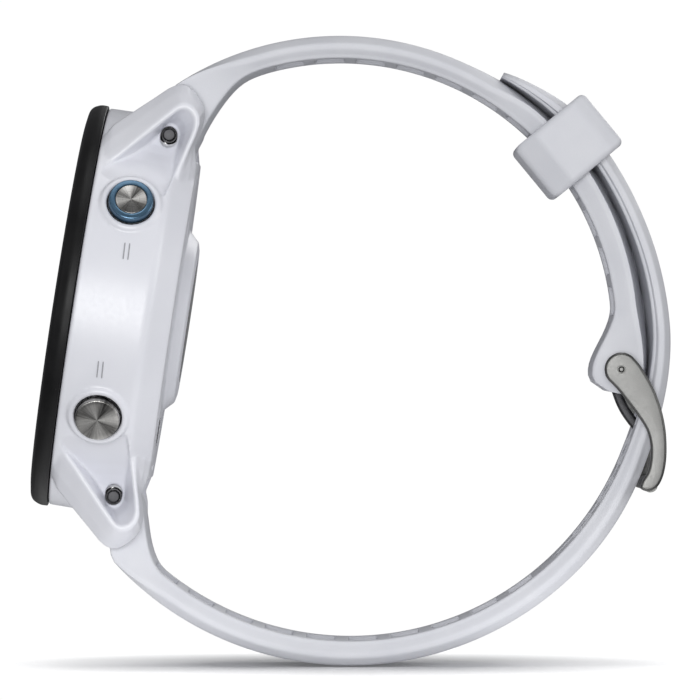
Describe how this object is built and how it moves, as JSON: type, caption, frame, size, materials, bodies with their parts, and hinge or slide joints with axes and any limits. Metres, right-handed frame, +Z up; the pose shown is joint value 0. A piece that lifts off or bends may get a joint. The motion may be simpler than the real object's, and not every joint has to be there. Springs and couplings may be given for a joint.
{
  "type": "gps running watch",
  "caption": "Round GPS running watch with side buttons and an optical sensor back, closed on a soft silicone strap with a pin buckle and a sliding keeper loop.",
  "frame": {"origin": "middle of the box around the watch, at the level of the band's lowest point, on which it stands", "axes": "+Z up and roughly towards twelve o'clock, the dial faces -Y leaning back 8.75 degrees, +X out of the three o'clock side"},
  "size_m": [0.0474, 0.0733, 0.0721],
  "materials": {
    "case_white": "satin moulded resin",
    "bezel_black": "fine matt",
    "lens_glass": "polished",
    "sensor_glass": "polished, dark",
    "screen": "smooth",
    "foil": "satin",
    "board": "solder mask",
    "contact_gold": "plated",
    "seal_rubber": "matt",
    "steel": "drawn",
    "button_steel": "radially brushed",
    "button_blue": "anodised",
    "band_silicone": "soft matt silicone",
    "buckle_steel": "satin"
  },
  "bodies": {
    "root": {"case_body": "case_white", "bezel_ring": "bezel_black", "front_lens": "lens_glass", "display_panel": "screen", "display_chassis": "foil", "main_board": "board", "gps_antenna": "contact_gold", "battery": "foil", "case_gasket": "seal_rubber", "back_cover": "case_white", "sensor_window": "sensor_glass", "sensor_board": "board", "charge_port": "seal_rubber", "charge_contact_1": "contact_gold", "charge_contact_2": "contact_gold", "charge_contact_3": "contact_gold", "charge_contact_4": "contact_gold", "back_screw_1": "steel", "back_screw_2": "steel", "back_screw_3": "steel", "back_screw_4": "steel", "motor_can": "steel", "upper_bar_tube": "steel", "lower_bar_tube": "steel", "upper_bar_spring": "steel", "lower_bar_spring": "steel", "start_button_seal": "seal_rubber", "back_button_seal": "seal_rubber", "light_button_seal": "seal_rubber", "up_button_seal": "seal_rubber", "down_button_seal": "seal_rubber", "start_button_spring": "steel", "back_button_spring": "steel", "light_button_spring": "steel", "up_button_spring": "steel", "down_button_spring": "steel"},
    "start_button": {"start_button": "button_blue", "start_button_clip": "steel", "start_inlay": "button_steel"},
    "back_button": {"back_button": "button_steel", "back_button_clip": "steel"},
    "light_button": {"light_button": "button_steel", "light_button_clip": "steel"},
    "up_button": {"up_button": "button_steel", "up_button_clip": "steel"},
    "down_button": {"down_button": "button_steel", "down_button_clip": "steel"},
    "upper_bar_tip_right": {"upper_bar_tip_right": "steel"},
    "upper_bar_tip_left": {"upper_bar_tip_left": "steel"},
    "lower_bar_tip_right": {"lower_bar_tip_right": "steel"},
    "lower_bar_tip_left": {"lower_bar_tip_left": "steel"},
    "upper_strap": {"upper_strap": "band_silicone"},
    "lower_strap": {"lower_strap": "band_silicone"},
    "keeper": {"keeper_loop": "band_silicone"},
    "buckle": {"buckle_frame": "buckle_steel", "buckle_pin": "buckle_steel"},
    "tongue": {"buckle_tongue": "buckle_steel"},
    "motor_weight": {"motor_weight": "foil"}
  },
  "joints": [
    {"name": "start_button_press", "type": "slide", "parent": "root", "child": "start_button", "axis": [-0.891, -0.0691, -0.4487], "range_m": [0, 0.0005], "stiffness_N_per_m": 1500, "deforming": ["start_button_spring"]},
    {"name": "back_button_press", "type": "slide", "parent": "root", "child": "back_button", "axis": [-0.891, 0.0691, 0.4487], "range_m": [0, 0.0005], "stiffness_N_per_m": 1500, "deforming": ["back_button_spring"]},
    {"name": "light_button_press", "type": "slide", "parent": "root", "child": "light_button", "axis": [0.891, -0.0691, -0.4487], "range_m": [0, 0.0005], "stiffness_N_per_m": 1500, "deforming": ["light_button_spring"]},
    {"name": "up_button_press", "type": "slide", "parent": "root", "child": "up_button", "axis": [1, 0, 0], "range_m": [0, 0.0005], "stiffness_N_per_m": 1500, "deforming": ["up_button_spring"]},
    {"name": "down_button_press", "type": "slide", "parent": "root", "child": "down_button", "axis": [0.891, 0.0691, 0.4487], "range_m": [0, 0.0005], "stiffness_N_per_m": 1500, "deforming": ["down_button_spring"]},
    {"name": "upper_bar_tip_right_slide", "type": "slide", "parent": "root", "child": "upper_bar_tip_right", "axis": [-1, 0, 0], "range_m": [0, 0.002], "stiffness_N_per_m": 500, "deforming": ["upper_bar_spring"]},
    {"name": "upper_bar_tip_left_slide", "type": "slide", "parent": "root", "child": "upper_bar_tip_left", "axis": [1, 0, 0], "range_m": [0, 0.002], "stiffness_N_per_m": 500, "deforming": ["upper_bar_spring"]},
    {"name": "lower_bar_tip_right_slide", "type": "slide", "parent": "root", "child": "lower_bar_tip_right", "axis": [-1, 0, 0], "range_m": [0, 0.002], "stiffness_N_per_m": 500, "deforming": ["lower_bar_spring"]},
    {"name": "lower_bar_tip_left_slide", "type": "slide", "parent": "root", "child": "lower_bar_tip_left", "axis": [1, 0, 0], "range_m": [0, 0.002], "stiffness_N_per_m": 500, "deforming": ["lower_bar_spring"]},
    {"name": "upper_strap_hinge", "type": "hinge", "parent": "root", "child": "upper_strap", "pos_m": [0.0005, -0.02043, 0.06061], "axis": [1, 0, 0], "range_deg": [0, 38]},
    {"name": "lower_strap_hinge", "type": "hinge", "parent": "root", "child": "lower_strap", "pos_m": [0.0005, -0.02676, 0.0195], "axis": [1, 0, 0], "range_deg": [0, 7.6], "deforming": ["lower_strap"]},
    {"name": "keeper_slide", "type": "hinge", "parent": "upper_strap", "child": "keeper", "pos_m": [0.0005, -0.00103, 0.03789], "axis": [1, 0, 0], "range_deg": [-12, 27]},
    {"name": "buckle_hinge", "type": "hinge", "parent": "upper_strap", "child": "buckle", "pos_m": [0.0005, 0.03097, 0.03395], "axis": [1, 0, 0], "range_deg": [0, 38]},
    {"name": "tongue_hinge", "type": "hinge", "parent": "buckle", "child": "tongue", "pos_m": [0.0005, 0.03097, 0.03395], "axis": [1, 0, 0], "range_deg": [0, 38]},
    {"name": "motor_spin", "type": "hinge", "parent": "root", "child": "motor_weight", "pos_m": [0.0005, -0.02784, 0.02958], "axis": [0, -0.9884, 0.1521], "continuous": true}
  ],
  "couplings": [
    {"joint": "lower_strap_hinge", "follows": "upper_strap_hinge", "ratio": 0.2}
  ]
}
